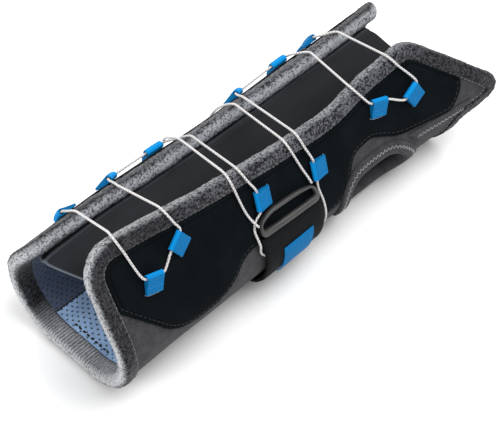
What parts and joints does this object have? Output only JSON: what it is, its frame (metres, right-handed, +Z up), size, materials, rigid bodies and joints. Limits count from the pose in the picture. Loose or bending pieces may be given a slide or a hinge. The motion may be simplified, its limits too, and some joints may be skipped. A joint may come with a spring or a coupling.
{
  "type": "wrist brace",
  "caption": "Padded wrist brace, open along one side and laced over a thin tongue, with plush bound edges, a thumb opening, webbing lace loops and a pull strap.",
  "frame": {"origin": "middle of the flat underside of the strap, where the brace rests on a surface", "axes": "+X along the forearm towards the hand, +Z up, -Y the side with the thumb opening"},
  "size_m": [0.2581, 0.0885, 0.0896],
  "materials": {
    "sleeve": "brushed knit over foam",
    "plush": "short plush pile",
    "velour": "dark loop velour",
    "lining": "perforated stretch lining, light",
    "lining_shade": "perforated stretch lining, dark",
    "tongue": "smooth, soft sheen",
    "webbing": "woven webbing",
    "elastic": "ribbed elastic",
    "cord": "braided lace",
    "moulded": "moulded, satin"
  },
  "bodies": {
    "root": {"sleeve": "sleeve", "lining_side": "lining_shade", "lining_base": "lining", "near_panel": "velour", "far_panel": "velour", "seam_tape": "plush", "edge_binding": "plush", "thumb_binding": "plush", "wrist_strap": "elastic", "pull_handle": "moulded", "strap_tab": "webbing", "lace_proximal": "cord", "lace_distal": "cord", "pull_cord": "cord", "tongue": "tongue", "near_loop_1": "webbing", "near_loop_2": "webbing", "near_loop_3": "webbing", "near_loop_4": "webbing", "near_loop_5": "webbing", "near_loop_6": "webbing", "far_loop_1": "webbing", "far_loop_2": "webbing", "far_loop_3": "webbing", "far_loop_4": "webbing", "far_loop_5": "webbing", "far_loop_6": "webbing"}
  },
  "joints": []
}
